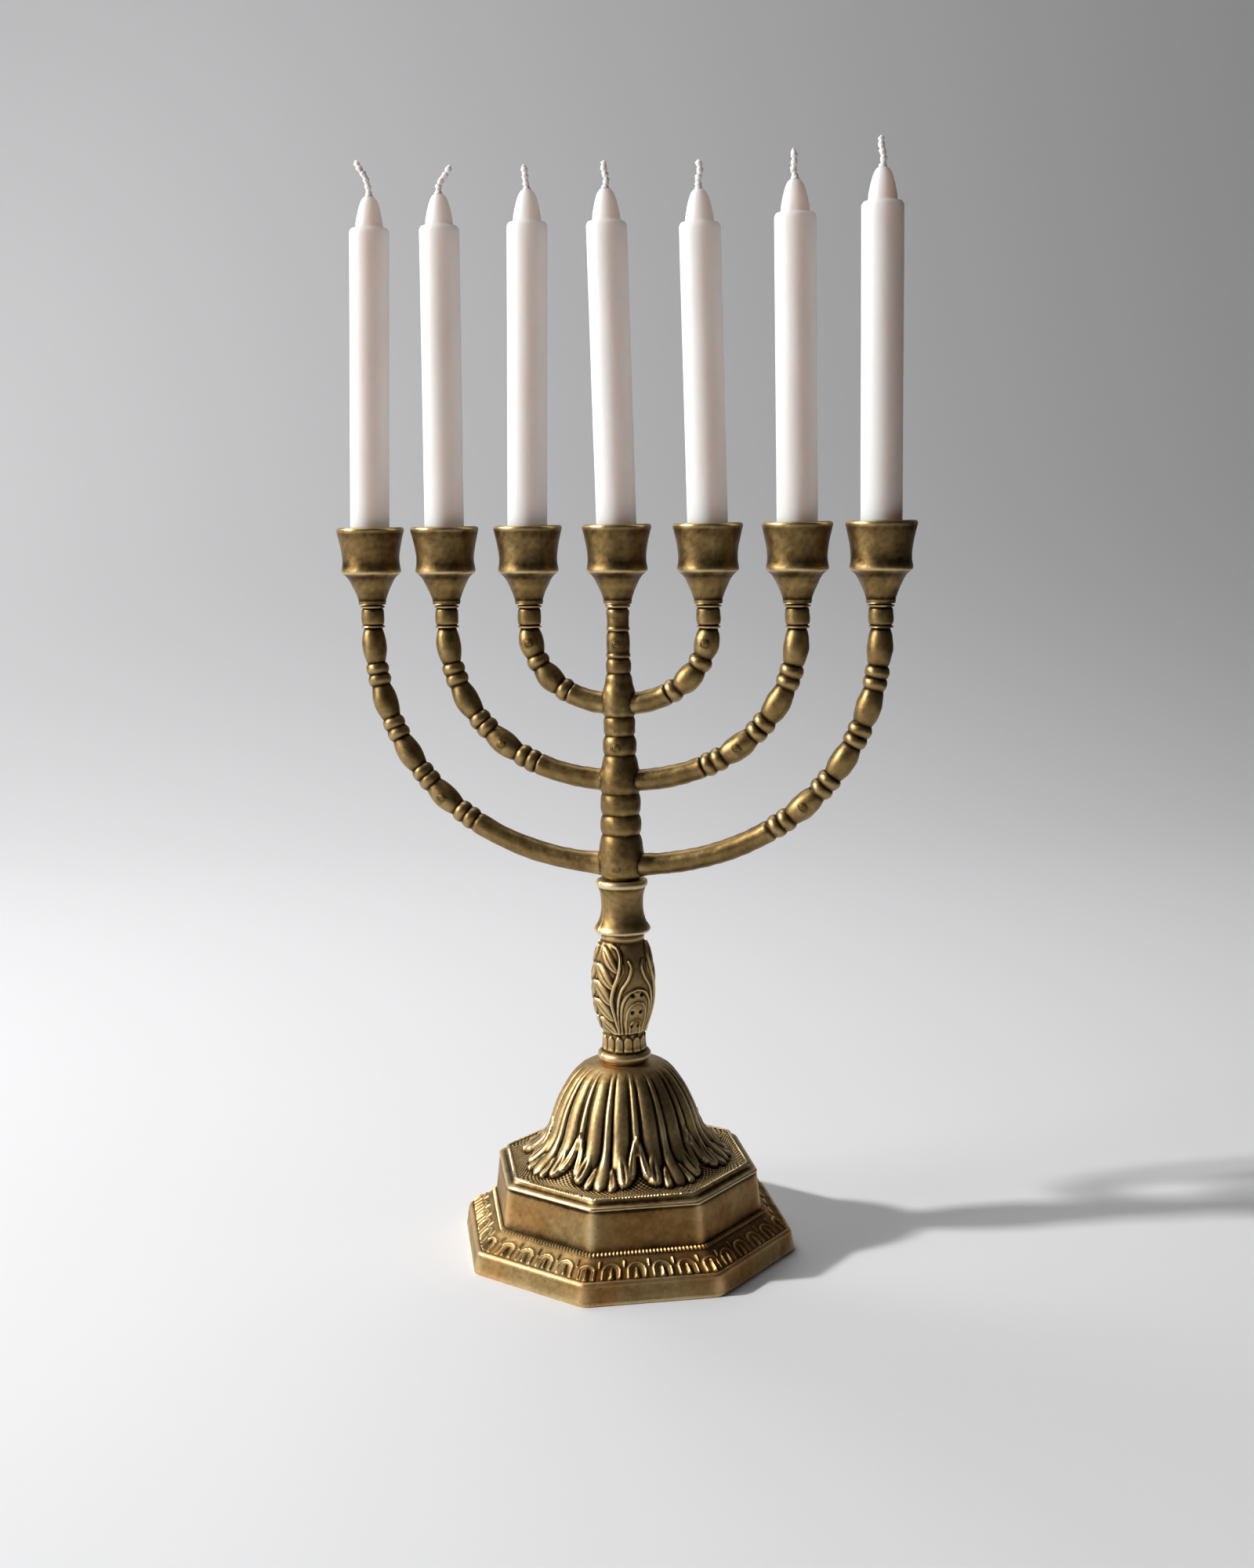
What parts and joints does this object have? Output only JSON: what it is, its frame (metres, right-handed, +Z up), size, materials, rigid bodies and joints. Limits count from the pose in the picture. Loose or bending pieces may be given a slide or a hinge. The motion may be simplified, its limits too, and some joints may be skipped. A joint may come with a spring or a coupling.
{
  "type": "menorah",
  "caption": "Branched candelabrum with curved beaded arms on a leaf-wrapped stem and a stepped octagonal foot, holding plain straight candles.",
  "frame": {"origin": "centre of the octagonal foot, on the surface it stands on", "axes": "+Z up along the stem, X along the row of branches and candles, -Y the front; two corners of the foot point along X and two along Y"},
  "size_m": [0.298, 0.18, 0.555],
  "materials": {
    "antique_brass": "aged brass, worn bright on high spots and dark in the recesses",
    "zinc_steel": "zinc plated",
    "white_wax": "plain white candle wax",
    "wick_cotton": "braided cotton, waxed"
  },
  "bodies": {
    "base": {"base_casting": "antique_brass"},
    "stem": {"stem_baluster": "antique_brass"},
    "head": {"branch_frame": "antique_brass", "candle_cup_1": "antique_brass", "candle_cup_2": "antique_brass", "candle_cup_3": "antique_brass", "candle_cup_4": "antique_brass", "candle_cup_5": "antique_brass", "candle_cup_6": "antique_brass", "candle_cup_7": "antique_brass", "cup_screw_1": "zinc_steel", "cup_screw_2": "zinc_steel", "cup_screw_3": "zinc_steel", "cup_screw_4": "zinc_steel", "cup_screw_5": "zinc_steel", "cup_screw_6": "zinc_steel", "cup_screw_7": "zinc_steel", "tie_rod": "zinc_steel", "washer": "zinc_steel", "hex_nut": "zinc_steel"},
    "loose_candle_1": {"candle_1": "white_wax", "wick_1": "wick_cotton"},
    "loose_candle_2": {"candle_2": "white_wax", "wick_2": "wick_cotton"},
    "loose_candle_3": {"candle_3": "white_wax", "wick_3": "wick_cotton"},
    "loose_candle_4": {"candle_4": "white_wax", "wick_4": "wick_cotton"},
    "loose_candle_5": {"candle_5": "white_wax", "wick_5": "wick_cotton"},
    "loose_candle_6": {"candle_6": "white_wax", "wick_6": "wick_cotton"},
    "loose_candle_7": {"candle_7": "white_wax", "wick_7": "wick_cotton"}
  },
  "joints": [
    {"name": "stem_turn", "type": "hinge", "parent": "base", "child": "stem", "pos_m": [0, 0, 0.096], "axis": [0, 0, 1], "continuous": true},
    {"name": "head_turn", "type": "hinge", "parent": "stem", "child": "head", "pos_m": [0, 0, 0.1925], "axis": [0, 0, 1], "continuous": true},
    {"name": "candle_1_lift", "type": "slide", "parent": "head", "child": "loose_candle_1", "axis": [0, 0, 1], "range_m": [0, 0.04]},
    {"name": "candle_2_lift", "type": "slide", "parent": "head", "child": "loose_candle_2", "axis": [0, 0, 1], "range_m": [0, 0.04]},
    {"name": "candle_3_lift", "type": "slide", "parent": "head", "child": "loose_candle_3", "axis": [0, 0, 1], "range_m": [0, 0.04]},
    {"name": "candle_4_lift", "type": "slide", "parent": "head", "child": "loose_candle_4", "axis": [0, 0, 1], "range_m": [0, 0.04]},
    {"name": "candle_5_lift", "type": "slide", "parent": "head", "child": "loose_candle_5", "axis": [0, 0, 1], "range_m": [0, 0.04]},
    {"name": "candle_6_lift", "type": "slide", "parent": "head", "child": "loose_candle_6", "axis": [0, 0, 1], "range_m": [0, 0.04]},
    {"name": "candle_7_lift", "type": "slide", "parent": "head", "child": "loose_candle_7", "axis": [0, 0, 1], "range_m": [0, 0.04]}
  ]
}
